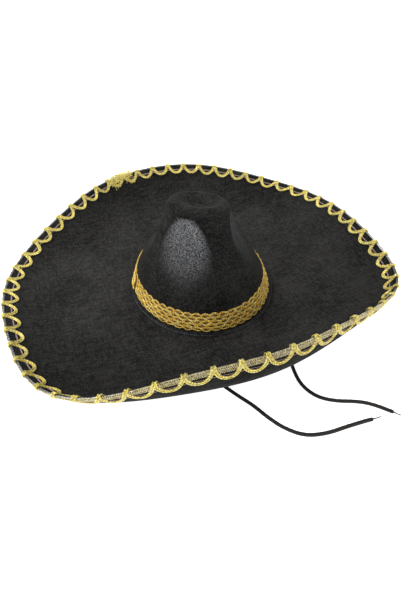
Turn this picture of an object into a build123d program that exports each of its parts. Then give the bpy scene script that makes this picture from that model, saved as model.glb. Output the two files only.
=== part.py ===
from build123d import *
import os
from math import cos, hypot, pi, radians, sin, tan

# A wide-brimmed felt sombrero, in millimetres, +Z up.
# The front of the hat faces -Y and its left and right sides lie along X.
# The origin is the centre of the head opening, at the level on which the hat rests.
# Angles round the hat start at the front and turn towards +X.

# ---- driving dimensions ----------------------------------------------------

LAYER_GAP = 0.05            # air between flat layers that are sewn or glued together
FACE_GAP = 0.3              # air between a curved face and the trim on it
RING_POINTS = 96            # points on each smooth closed curve

# head opening and sweatband
HEAD_HALF_LENGTH = 101.1    # inside the sweatband, front to back
HEAD_HALF_WIDTH = 81.6      # inside the sweatband, side to side
SWEATBAND_THICK = 2.4
SWEATBAND_FLANGE = 15.0     # the lower edge is turned out this far under the brim
SWEATBAND_TOP = 33.0

# crown
CROWN_FELT = 1.8
CROWN_HEIGHT = 107.0        # from the top of its flange to the shoulder
CROWN_FLANGE = 5.5
CROWN_LEAN = (16.0, 16.0)   # the pinched top sits this far to the side and to the back
CROWN_SQUEEZE = 0.35        # the top is this much narrower from front to back
CROWN_TILT = -0.27          # the top slopes down to one side
CROWN_WALL = ((1.0, 0.0), (0.90, 0.30), (0.575, 0.75), (0.495, 0.885))
CROWN_DISH = ((0.495, 0.885), (0.405, 1.037), (0.35, 1.0), (0.07, 0.92))
DENT_ANGLES = (-42, 62, 148, 230)   # pressed by hand, so not quite evenly spaced
DENT_DEPTH = 10.0
DENT_HALF_ANGLE = 38.0
DENT_HALF_HEIGHT = 35.0
DENT_CENTRE = 0.63          # of the crown's height

# brim
BRIM_FELT = 2.2
BRIM_FLAT = 14.2            # flat ring round the opening
EDGE_WIRE = 1.6
WHIP_THREAD = 0.35

# trim on the brim's edge
SCALLOPS = 57
SCALLOP_PHASE = 0.44        # of a scallop; the first crossing is this far round from the front
SCALLOP_REACH = 15.5        # from the felt's edge to the bottom of a scallop
SCALLOP_RISE = 5.5          # between a scallop's bottom and its shoulder
SCALLOP_CORD = 1.5
SCALLOP_STEPS = 6           # straight facets to one scallop
EDGE_CORD_REACH = 1.0       # the edge cord is folded this far onto each face
INNER_SCALLOP_NEAR = 1.2    # where the scallops start, from the felt's edge
OUTER_SCALLOP_NEAR = 8.6
WHIP_REACH = 3.0            # length of the whip stitches on each face
THREADS = (6.5, 9.0)        # from the felt's edge
THREAD_THICK = 0.4
CHAIN_ROWS = ((1.2, 4.6), (4.8, 8.2))
CHAIN_THICK = 0.8
SEAM_ANGLE = 190.0          # where the two ends of the edge braid overlap
SEAM_SCALLOPS = 2

# hat band
BAND_BOTTOM = 2.0           # above the crown's flange
BAND_ROWS = 5
BAND_ROW_HEIGHT = 3.4
BAND_THICK = 2.0
BAND_OVERLAP_ANGLE = -103.0
BAND_OVERLAP_SPAN = 8.0

# chin cords
CORD_DIAMETER = 4.0
CORD_HEIGHT = 2.02          # of the cord's centre line where it lies flat
TIP_SLEEVE = 4.0
TIP_CORE = 9.0
TIP_CORE_DIAMETER = 1.1
TAB_LENGTH = 12.0
TAB_WIDTH = 9.0
TAB_BOTTOM = 0.15
TAB_TOP = 3.1

LEFT_CORD = ((-75, -108), (-67, -125), (-57, -148), (-47, -172), (-39, -191), (-30, -209), (-24, -228),
             (-16, -245), (-3, -260), (17, -267), (40, -269), (60, -272))
RIGHT_CORD = ((75, -106), (63, -124), (48, -147), (35, -171), (28, -193), (26, -211), (32, -229),
              (46, -241), (62, -249), (75, -259), (84, -272))

# ---- worked out from the driving dimensions ---------------------------------

BRIM_UNDER = SWEATBAND_THICK + LAYER_GAP
BRIM_TOP = BRIM_UNDER + BRIM_FELT
CROWN_FOOT = BRIM_TOP + LAYER_GAP
CROWN_ROOT = CROWN_FOOT + CROWN_FELT
LINING = SWEATBAND_THICK + 0.15     # sweatband and its air gap at the crown's foot
SWEATBAND_CLEAR = CROWN_FELT + 0.6   # from the crown's outer face to the sweatband's top

CROWN_HALF_LENGTH = HEAD_HALF_LENGTH + LINING + CROWN_FELT
CROWN_HALF_WIDTH = HEAD_HALF_WIDTH + LINING + CROWN_FELT
OPENING_HALF_LENGTH = HEAD_HALF_LENGTH + LINING + 0.1
OPENING_HALF_WIDTH = HEAD_HALF_WIDTH + LINING + 0.1
FLAT_HALF_LENGTH = OPENING_HALF_LENGTH + BRIM_FLAT
FLAT_HALF_WIDTH = OPENING_HALF_WIDTH + BRIM_FLAT

FULL_TURN = 2 * pi


# ---- helpers for closed rings ------------------------------------------------

TURN_ANGLES = [FULL_TURN * i / RING_POINTS for i in range(RING_POINTS)]


def closed_wire(points):
    """A smooth closed curve, evenly parametrised so that neighbouring rings match point by point."""
    return Wire([Edge.make_spline(points, periodic=True, parameters=list(range(len(points) + 1)))])


def flat_ring(outer, inner):
    return Face(outer, [inner])


def solid_from(*skins):
    """Sew lofted skins and flat faces, which share their border rings, into one solid."""
    faces = []
    for skin in skins:
        faces += skin.faces() if isinstance(skin, Shell) else [skin]
    return Solid(Shell(faces))


def section_ring(corners):
    """A ring whose cross-section is a polygon: one closed wire for each corner."""
    return solid_from(Shell.make_loft(corners + [corners[0]], ruled=True))


def band_between(inner_stack, outer_stack):
    """A closed band between two stacks of rings that run from one of its borders to the other."""
    return section_ring(inner_stack + outer_stack[::-1])


def ellipse_wire(half_length, half_width, height):
    return closed_wire([(half_width * sin(a), -half_length * cos(a), height) for a in TURN_ANGLES])


def save(node, shape):
    export_step(shape, f"parts/{node}.step")
    print(node, "volume", round(shape.volume, 1), "valid", shape.is_valid)


def bezier(controls, t):
    """Point and derivative of a cubic Bezier curve in a plane."""
    (ax, ay), (bx, by), (cx, cy), (dx, dy) = controls
    s = 1 - t
    x = s**3 * ax + 3 * s * s * t * bx + 3 * s * t * t * cx + t**3 * dx
    y = s**3 * ay + 3 * s * s * t * by + 3 * s * t * t * cy + t**3 * dy
    along = 3 * (s * s * (bx - ax) + 2 * s * t * (cx - bx) + t * t * (dx - cx))
    up = 3 * (s * s * (by - ay) + 2 * s * t * (cy - by) + t * t * (dy - cy))
    return x, y, along, up


# ---- the brim's shape --------------------------------------------------------

def rim(angle):
    """Radius and height of the felt's edge: high at the front and back, low at the sides."""
    radius = (235 - 7 * cos(angle) - 11.5 * cos(2 * angle) - 6.5 * cos(3 * angle) - 2 * cos(4 * angle)
              - 4 * cos(5 * angle) + 4.5 * cos(6 * angle) - 3.5 * sin(angle))
    height = BRIM_TOP + (43.5 + cos(angle) + 19.5 * cos(2 * angle) + cos(3 * angle) + 1.5 * cos(4 * angle)
                         - 4 * cos(6 * angle) - 5 * sin(angle) - 4 * sin(2 * angle) - 1.5 * sin(3 * angle))
    return radius, height


class BrimProfile:
    """The brim's top line in the upright plane at one angle, from the flat ring to the edge."""

    def __init__(self, angle):
        radius, height = rim(angle)
        self.start = (FLAT_HALF_WIDTH * sin(angle), -FLAT_HALF_LENGTH * cos(angle))
        reach_x = radius * sin(angle) - self.start[0]
        reach_y = -radius * cos(angle) - self.start[1]
        reach = hypot(reach_x, reach_y)
        self.out = (reach_x / reach, reach_y / reach)
        leave = radians(5.5 + 3.5 * cos(2 * angle))
        curl = radians(51 + 26 * cos(angle) + 22 * cos(2 * angle) - 3 * sin(angle))
        first = reach * (0.58 + 0.12 * cos(angle))
        rise = height - BRIM_TOP
        self.controls = ((0, 0), (first, first * tan(leave)),
                         (reach - 0.7 * rise / tan(curl), 0.3 * rise), (reach, rise))

    def point(self, t, above):
        """A point at parameter t, offset upwards from the top face along the face's normal."""
        x, y, along, up = bezier(self.controls, t)
        length = hypot(along, up)
        return self.place(x - above * up / length, y + above * along / length)

    def near_edge(self, inward, above):
        """A point at a distance inward from the felt's edge; a negative distance is beyond it."""
        x, y, along, up = bezier(self.controls, 1)
        length = hypot(along, up)
        if inward <= 0:
            across, climb = along / length, up / length
            return self.place(x - inward * across - above * climb, y - inward * climb + above * across)
        low, high = 0.0, 1.0
        for _ in range(24):
            middle = (low + high) / 2
            px, py, _, _ = bezier(self.controls, middle)
            if hypot(x - px, y - py) > inward:
                low = middle
            else:
                high = middle
        return self.point(low, above)

    def place(self, outwards, height):
        return (self.start[0] + self.out[0] * outwards, self.start[1] + self.out[1] * outwards,
                BRIM_TOP + height)


def rim_lengths(steps):
    """Angles round the edge and the length along it up to each of them."""
    angles = [FULL_TURN * i / steps for i in range(steps + 1)]
    points = [Vector(*BrimProfile(a).near_edge(0, 0)) for a in angles]
    lengths = [0.0]
    for before, after in zip(points, points[1:]):
        lengths.append(lengths[-1] + (after - before).length)
    return angles, lengths


RIM_ANGLES, RIM_LENGTHS = rim_lengths(720)


def angle_at(fraction):
    """The angle at a fraction of the way round the edge, measured along it."""
    target = (fraction % 1) * RIM_LENGTHS[-1]
    index = 0
    while RIM_LENGTHS[index + 1] < target and index < len(RIM_LENGTHS) - 2:
        index += 1
    share = (target - RIM_LENGTHS[index]) / (RIM_LENGTHS[index + 1] - RIM_LENGTHS[index])
    return RIM_ANGLES[index] + share * (RIM_ANGLES[index + 1] - RIM_ANGLES[index])


BRIM_PROFILES = [BrimProfile(a) for a in TURN_ANGLES]


def edge_ring(inward, above):
    """A ring that follows the brim's edge at a distance inward from it."""
    return closed_wire([profile.near_edge(inward, above) for profile in BRIM_PROFILES])


# ---- the crown's shape ---------------------------------------------------------

def dent(angle, height):
    """Depth of the four oval dents pressed into the crown's wall."""
    depth = 0.0
    for centre in DENT_ANGLES:
        aside = (angle - radians(centre) + pi) % FULL_TURN - pi
        across = aside / radians(DENT_HALF_ANGLE)
        upward = (height / CROWN_HEIGHT - DENT_CENTRE) * CROWN_HEIGHT / DENT_HALF_HEIGHT
        reach = hypot(across, upward)
        if reach < 1:
            depth += DENT_DEPTH * (1 - reach**3) ** 2
    return depth


def crown_face(angle, u):
    """A point on the crown's outer face; u is 0 to 1 up the wall, and 1 to 2 in the dished top."""
    controls = CROWN_WALL if u <= 1 else CROWN_DISH
    scale, share, _, _ = bezier(controls, u if u <= 1 else u - 1)
    height = share * CROWN_HEIGHT
    x = scale * CROWN_HALF_WIDTH * sin(angle)
    y = -scale * (1 - CROWN_SQUEEZE * share**2) * CROWN_HALF_LENGTH * cos(angle)
    from_axis = hypot(x, y)
    fade = min(1.0, max(0.0, 1.5 - u) * 2)
    kept = 1 - fade * dent(angle, height) / from_axis
    x, y = x * kept, y * kept
    lean = max(0.0, share)**1.5
    return Vector(x + CROWN_LEAN[0] * lean, y + CROWN_LEAN[1] * lean,
                  CROWN_ROOT + height + share**2 * CROWN_TILT * x)


def crown_normal(angle, u):
    step = 1e-3
    up = crown_face(angle, min(2.0, u + step)) - crown_face(angle, max(0.0, u - step))
    round_it = crown_face(angle + step, u) - crown_face(angle - step, u)
    return round_it.cross(up).normalized()


def crown_point(angle, u, outside=0.0):
    """A point on the crown's outer face, or offset outside it by a distance along its normal."""
    point = crown_face(angle, u) + crown_normal(angle, u) * outside
    return (point.X, point.Y, point.Z)


def crown_ring(u, outside=0.0):
    return closed_wire([crown_point(a, u, outside) for a in TURN_ANGLES])


def wall_share(height):
    """The wall parameter at a height above the flange."""
    low, high = 0.0, 1.0
    for _ in range(30):
        middle = (low + high) / 2
        if bezier(CROWN_WALL, middle)[1] * CROWN_HEIGHT < height:
            low = middle
        else:
            high = middle
    return low


# ---- felt pieces ---------------------------------------------------------------

def make_brim_felt():
    steps = (0.0, 0.1, 0.2, 0.3, 0.4, 0.48, 0.56, 0.63, 0.7, 0.76, 0.81, 0.86, 0.9, 0.93, 0.955, 0.98, 1.0)
    top = [ellipse_wire(FLAT_HALF_LENGTH, FLAT_HALF_WIDTH, BRIM_TOP)]
    under = [ellipse_wire(FLAT_HALF_LENGTH, FLAT_HALF_WIDTH, BRIM_UNDER)]
    for t in steps[1:]:
        top.append(closed_wire([profile.point(t, 0) for profile in BRIM_PROFILES]))
        under.append(closed_wire([profile.point(t, -BRIM_FELT) for profile in BRIM_PROFILES]))
    hole_top = ellipse_wire(OPENING_HALF_LENGTH, OPENING_HALF_WIDTH, BRIM_TOP)
    hole_under = ellipse_wire(OPENING_HALF_LENGTH, OPENING_HALF_WIDTH, BRIM_UNDER)
    return solid_from(
        Shell.make_loft(top, ruled=True), Shell.make_loft(under, ruled=True),
        flat_ring(top[0], hole_top), flat_ring(under[0], hole_under),
        Shell.make_loft([hole_top, hole_under], ruled=True),
        Shell.make_loft([top[-1], under[-1]], ruled=True),
    )


def make_crown_felt():
    steps = (0.0, 0.05, 0.1, 0.16, 0.22, 0.29, 0.36, 0.43, 0.5, 0.57, 0.64, 0.71, 0.78, 0.84, 0.9, 0.95, 1.0,
             1.06, 1.12, 1.18, 1.24, 1.31, 1.39, 1.5, 1.7, 2.0)
    outer = [crown_ring(u) for u in steps]
    inner = [ellipse_wire(CROWN_HALF_LENGTH - CROWN_FELT, CROWN_HALF_WIDTH - CROWN_FELT, CROWN_FOOT)]
    inner += [crown_ring(u, -CROWN_FELT) for u in steps[1:-1]]
    inner.append(closed_wire([(x, y, z - CROWN_FELT) for x, y, z in (crown_point(a, 2) for a in TURN_ANGLES)]))
    flange_length = CROWN_HALF_LENGTH + CROWN_FLANGE
    flange_width = CROWN_HALF_WIDTH + CROWN_FLANGE
    flange_top = ellipse_wire(flange_length, flange_width, CROWN_ROOT)
    flange_foot = ellipse_wire(flange_length, flange_width, CROWN_FOOT)
    return solid_from(
        Shell.make_loft(outer, ruled=True), Face(outer[-1]),
        Shell.make_loft(inner, ruled=True), Face(inner[-1]),
        flat_ring(flange_top, outer[0]), flat_ring(flange_foot, inner[0]),
        Shell.make_loft([flange_top, flange_foot], ruled=True),
    )


def make_sweatband():
    """An L-shaped band: a wall that lines the crown, and a flat flange turned out under the brim."""
    top_share = wall_share(SWEATBAND_TOP - CROWN_ROOT)
    turned = (HEAD_HALF_LENGTH + SWEATBAND_FLANGE, HEAD_HALF_WIDTH + SWEATBAND_FLANGE)
    rest_outer = ellipse_wire(*turned, 0)
    rest_inner = ellipse_wire(HEAD_HALF_LENGTH, HEAD_HALF_WIDTH, 0)
    flange_outer = ellipse_wire(*turned, SWEATBAND_THICK)
    flange_inner = ellipse_wire(HEAD_HALF_LENGTH + SWEATBAND_THICK, HEAD_HALF_WIDTH + SWEATBAND_THICK,
                                SWEATBAND_THICK)
    top_outer = crown_ring(top_share, -SWEATBAND_CLEAR)
    top_inner = crown_ring(top_share, -SWEATBAND_CLEAR - SWEATBAND_THICK)
    return solid_from(
        flat_ring(rest_outer, rest_inner), flat_ring(flange_outer, flange_inner),
        Shell.make_loft([rest_outer, flange_outer], ruled=True),
        Shell.make_loft([flange_inner, top_outer], ruled=True),
        Shell.make_loft([top_outer, top_inner], ruled=True),
        Shell.make_loft([top_inner, rest_inner], ruled=True),
    )


# ---- the brim's edge: wire, stitching and braid ----------------------------------

def make_edge_wire():
    """A round wire against the edge of the felt, half way through its thickness."""
    radius = EDGE_WIRE / 2
    centre = -(LAYER_GAP + radius)
    sides = 8
    corners = []
    for side in range(sides):
        turn = FULL_TURN * (side + 0.5) / sides
        corners.append(edge_ring(centre + radius * cos(turn), -BRIM_FELT / 2 + radius * sin(turn)))
    return section_ring(corners)


def channel(reach, beyond, above, thick):
    """A U-shaped channel round the brim's edge; above is its gap from both faces of the felt."""
    inner = ((reach, above), (-beyond, above), (-beyond, -BRIM_FELT - above), (reach, -BRIM_FELT - above))
    outer_above = above + thick
    outer = ((reach, -BRIM_FELT - outer_above), (-beyond - thick, -BRIM_FELT - outer_above),
             (-beyond - thick, outer_above), (reach, outer_above))
    return inner + outer


def make_channel(reach, beyond, above, thick):
    return section_ring([edge_ring(*corner) for corner in channel(reach, beyond, above, thick)])


WIRE_END = LAYER_GAP + EDGE_WIRE + LAYER_GAP            # beyond the felt's edge
WHIP_END = WIRE_END + WHIP_THREAD + LAYER_GAP
BRAID_LIFT = WHIP_THREAD + 2 * FACE_GAP                 # above the felt


def face_levels(side, lift, thick):
    """Offsets of the two faces of a trim; side is 1 on the brim's top face and -1 underneath."""
    face = 0 if side > 0 else -BRIM_FELT
    return face + side * lift, face + side * (lift + thick)


def face_band(near, far, side, lift, thick):
    """A plain band of trim that lies on one face of the brim."""
    stacks = [[edge_ring(reach, level) for reach in (near, (near + far) / 2, far)]
              for level in face_levels(side, lift, thick)]
    return band_between(*stacks)


def make_scallops(near, far, side, lift, thick):
    """Rounded lobes side by side along one face of the brim's edge."""
    low, high = face_levels(side, lift, thick)
    lobes = []
    for index in range(SCALLOPS):
        sections = []
        for step in range(SCALLOP_STEPS + 1):
            share = (step + 0.1) / (SCALLOP_STEPS + 0.2)
            reach = far - SCALLOP_RISE * (1 - sin(pi * share))
            middle = (near + reach) / 2
            profile = BrimProfile(angle_at((index + share + SCALLOP_PHASE) / SCALLOPS))
            corners = ((near, low), (middle, low), (reach, low), (reach, high), (middle, high), (near, high))
            sections.append(Wire.make_polygon([profile.near_edge(*corner) for corner in corners]))
        lobes.append(Solid.make_loft(sections, ruled=True))
    return Compound(lobes)


def make_edge_seam():
    """The doubled stretch where one end of the edge braid lies over the other."""
    pitch = RIM_LENGTHS[-1] / SCALLOPS
    seam_fraction = RIM_LENGTHS[round(SEAM_ANGLE * 2)] / RIM_LENGTHS[-1]
    half = SEAM_SCALLOPS / 2 / SCALLOPS
    lift = BRAID_LIFT + SCALLOP_CORD + FACE_GAP
    corners = channel(0.4 * pitch, WHIP_END + SCALLOP_CORD + FACE_GAP, lift, SCALLOP_CORD)
    sections = []
    for index in range(7):
        profile = BrimProfile(angle_at(seam_fraction - half + 2 * half * index / 6))
        sections.append(Wire.make_polygon([profile.near_edge(*corner) for corner in corners]))
    return Solid.make_loft(sections, ruled=True)


# ---- hat band ----------------------------------------------------------------------

def make_band_row(row):
    low = BAND_BOTTOM + row * BAND_ROW_HEIGHT
    high = low + BAND_ROW_HEIGHT - 2 * LAYER_GAP
    shares = [wall_share(height) for height in (low, (low + high) / 2, high)]
    stacks = [[crown_ring(share, outside) for share in shares]
              for outside in (FACE_GAP, FACE_GAP + BAND_THICK)]
    return band_between(*stacks)


def make_band_overlap():
    """The end of the hat band, which lies over the band's start."""
    lift = 3 * FACE_GAP + BAND_THICK
    low, high = BAND_BOTTOM + 0.5, BAND_BOTTOM + BAND_ROWS * BAND_ROW_HEIGHT - 0.5
    sections = []
    for index in range(5):
        angle = radians(BAND_OVERLAP_ANGLE + BAND_OVERLAP_SPAN * (index / 4 - 0.5))
        foot, head = crown_face(angle, wall_share(low)), crown_face(angle, wall_share(high))
        outwards = crown_normal(angle, wall_share((low + high) / 2))
        near, far = outwards * lift, outwards * (lift + BAND_THICK)
        sections.append(Wire.make_polygon([foot + near, head + near, head + far, foot + far]))
    return Solid.make_loft(sections, ruled=True)


# ---- chin cords ----------------------------------------------------------------------

def cord_path(name, route):
    """Straight runs joined by arcs as large as the runs allow."""
    points = [Vector(x, y, CORD_HEIGHT) for x, y in route]
    radii = []
    for before, corner, after in zip(points, points[1:], points[2:]):
        into, out = corner - before, after - corner
        half_turn = radians(into.get_angle(out)) / 2
        radii.append(0.45 * min(into.length, out.length) / tan(half_turn))
    print(name, "radii", [round(r) for r in radii])
    return FilletPolyline(*points, radius=radii)


def make_cord(name, route):
    path = cord_path(name, route)
    start = Plane(origin=path @ 0, z_dir=path % 0)
    cord = sweep(start * Circle(CORD_DIAMETER / 2), path=path)
    expected = pi * (CORD_DIAMETER / 2) ** 2 * path.length
    print(name, "length", round(path.length, 1), "volume share", round(cord.volume / expected, 4))
    return cord


def make_cord_tip(route):
    """A crimped sleeve on the cord's end, with the stiff core standing out of it."""
    (back_x, back_y), (end_x, end_y) = route[-2:]
    ahead = Vector(end_x - back_x, end_y - back_y, 0).normalized()
    seat = Plane(origin=(end_x, end_y, CORD_HEIGHT), z_dir=ahead)
    sleeve = Cylinder(CORD_DIAMETER / 2, TIP_SLEEVE, align=(Align.CENTER, Align.CENTER, Align.MIN))
    core = Cylinder(TIP_CORE_DIAMETER / 2, TIP_SLEEVE + TIP_CORE,
                    align=(Align.CENTER, Align.CENTER, Align.MIN))
    return seat * (sleeve + core)


def make_cord_tab(route):
    """A folded tape, sewn under the brim, that holds the cord's end."""
    (start_x, start_y), (next_x, next_y) = route[:2]
    back = Vector(start_x - next_x, start_y - next_y, 0).normalized()
    middle = Vector(start_x, start_y, (TAB_BOTTOM + TAB_TOP) / 2) + back * (TAB_LENGTH / 2)
    return Plane(origin=middle, x_dir=back, z_dir=(0, 0, 1)) * Box(TAB_LENGTH, TAB_WIDTH, TAB_TOP - TAB_BOTTOM)


# ---- write every piece -----------------------------------------------------------------

os.makedirs("parts", exist_ok=True)

save("brim_felt", make_brim_felt())
save("crown_felt", make_crown_felt())
save("sweatband", make_sweatband())

save("brim_edge_wire", make_edge_wire())
save("edge_whip_stitching", make_channel(WHIP_REACH, WIRE_END, FACE_GAP / 2, WHIP_THREAD))
save("rim_braid_edge_cord", make_channel(EDGE_CORD_REACH, WHIP_END, BRAID_LIFT, SCALLOP_CORD))
save("rim_braid_inner_scallops", make_scallops(INNER_SCALLOP_NEAR, SCALLOP_REACH, 1, BRAID_LIFT, SCALLOP_CORD))
save("rim_braid_inner_threads", face_band(*THREADS, 1, FACE_GAP / 2, THREAD_THICK))
save("rim_braid_outer_scallops", make_scallops(OUTER_SCALLOP_NEAR, SCALLOP_REACH + 1, -1, FACE_GAP, SCALLOP_CORD))
save("rim_braid_outer_chain_1", face_band(*CHAIN_ROWS[0], -1, BRAID_LIFT, CHAIN_THICK))
save("rim_braid_outer_chain_2", face_band(*CHAIN_ROWS[1], -1, FACE_GAP, CHAIN_THICK))
save("rim_braid_overlap", make_edge_seam())

for row in range(BAND_ROWS):
    save(f"hat_band_cord_{row + 1}", make_band_row(row))
save("hat_band_overlap", make_band_overlap())

for side, route in (("left", LEFT_CORD), ("right", RIGHT_CORD)):
    save(f"chin_cord_{side}", make_cord(f"chin_cord_{side}", route))
    save(f"chin_cord_{side}_tip", make_cord_tip(route))
    save(f"chin_cord_{side}_tab", make_cord_tab(route))
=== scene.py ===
from math import pi, radians, sin, cos

import bpy
import numpy as np
from mathutils import Matrix, Vector


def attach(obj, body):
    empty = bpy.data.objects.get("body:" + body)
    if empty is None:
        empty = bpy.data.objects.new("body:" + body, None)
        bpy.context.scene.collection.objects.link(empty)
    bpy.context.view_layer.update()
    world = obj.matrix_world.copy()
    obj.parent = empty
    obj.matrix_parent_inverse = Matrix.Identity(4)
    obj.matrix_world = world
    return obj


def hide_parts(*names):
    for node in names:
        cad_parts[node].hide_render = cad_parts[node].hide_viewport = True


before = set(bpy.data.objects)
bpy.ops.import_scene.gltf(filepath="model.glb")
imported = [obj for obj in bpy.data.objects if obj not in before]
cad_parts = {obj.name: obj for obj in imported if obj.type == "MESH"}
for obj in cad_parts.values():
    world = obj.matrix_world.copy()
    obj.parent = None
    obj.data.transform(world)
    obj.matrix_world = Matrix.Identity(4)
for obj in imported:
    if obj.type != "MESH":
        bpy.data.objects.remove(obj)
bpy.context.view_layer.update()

# The shapes below repeat the CAD model's formulas. They work in millimetres, and every mesh is
# made in metres. Angles start at the front of the hat (-Y) and turn towards +X.

MM = 0.001
FULL_TURN = 2 * pi

HEAD_HALF_LENGTH, HEAD_HALF_WIDTH = 101.1, 81.6
SWEATBAND_THICK, SWEATBAND_FLANGE, SWEATBAND_TOP, SWEATBAND_GAP = 2.4, 15.0, 33.0, 0.6
CROWN_FELT, CROWN_HEIGHT, CROWN_FLANGE = 1.8, 107.0, 5.5
CROWN_LEAN, CROWN_SQUEEZE, CROWN_TILT = (16.0, 16.0), 0.35, -0.27
CROWN_WALL = ((1.0, 0.0), (0.90, 0.30), (0.575, 0.75), (0.495, 0.885))
CROWN_DISH = ((0.495, 0.885), (0.405, 1.037), (0.35, 1.0), (0.07, 0.92))
DENT_ANGLES = (-42, 62, 148, 230)
DENT_DEPTH, DENT_HALF_ANGLE, DENT_HALF_HEIGHT, DENT_CENTRE = 10.0, 38.0, 35.0, 0.63
BRIM_FELT, BRIM_FLAT = 2.2, 14.2
EDGE_WIRE = 1.6
SCALLOPS, SCALLOP_PHASE, SCALLOP_REACH = 57, 0.44, 15.5
SEAM_ANGLE = 190.0
BAND_BOTTOM, BAND_ROWS, BAND_ROW_HEIGHT = 2.0, 5, 3.4
BAND_OVERLAP_ANGLE = -103.0
CORD_RADIUS, CORD_HEIGHT, TIP_SLEEVE, TIP_CORE = 2.0, 2.02, 4.0, 9.0
TAB_LENGTH, TAB_WIDTH, TAB_BOTTOM, TAB_TOP = 12.0, 9.0, 0.15, 3.1

LEFT_CORD = ((-75, -108), (-67, -125), (-57, -148), (-47, -172), (-39, -191), (-30, -209), (-24, -228),
             (-16, -245), (-3, -260), (17, -267), (40, -269), (60, -272))
RIGHT_CORD = ((75, -106), (63, -124), (48, -147), (35, -171), (28, -193), (26, -211), (32, -229),
              (46, -241), (62, -249), (75, -259), (84, -272))

BRIM_UNDER = SWEATBAND_THICK + 0.05
BRIM_TOP = BRIM_UNDER + BRIM_FELT
CROWN_FOOT = BRIM_TOP + 0.05
CROWN_ROOT = CROWN_FOOT + CROWN_FELT
LINING = SWEATBAND_THICK + 0.15
CROWN_HALF_LENGTH = HEAD_HALF_LENGTH + LINING + CROWN_FELT
CROWN_HALF_WIDTH = HEAD_HALF_WIDTH + LINING + CROWN_FELT
OPENING_HALF_LENGTH = HEAD_HALF_LENGTH + LINING + 0.1
OPENING_HALF_WIDTH = HEAD_HALF_WIDTH + LINING + 0.1
FLAT_HALF_LENGTH = OPENING_HALF_LENGTH + BRIM_FLAT
FLAT_HALF_WIDTH = OPENING_HALF_WIDTH + BRIM_FLAT


# ---- mesh helpers --------------------------------------------------------------------

def unit(vectors):
    return vectors / np.maximum(np.linalg.norm(vectors, axis=-1, keepdims=True), 1e-9)


def stack(*columns):
    return np.stack(np.broadcast_arrays(*columns), axis=-1).astype(float)


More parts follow.
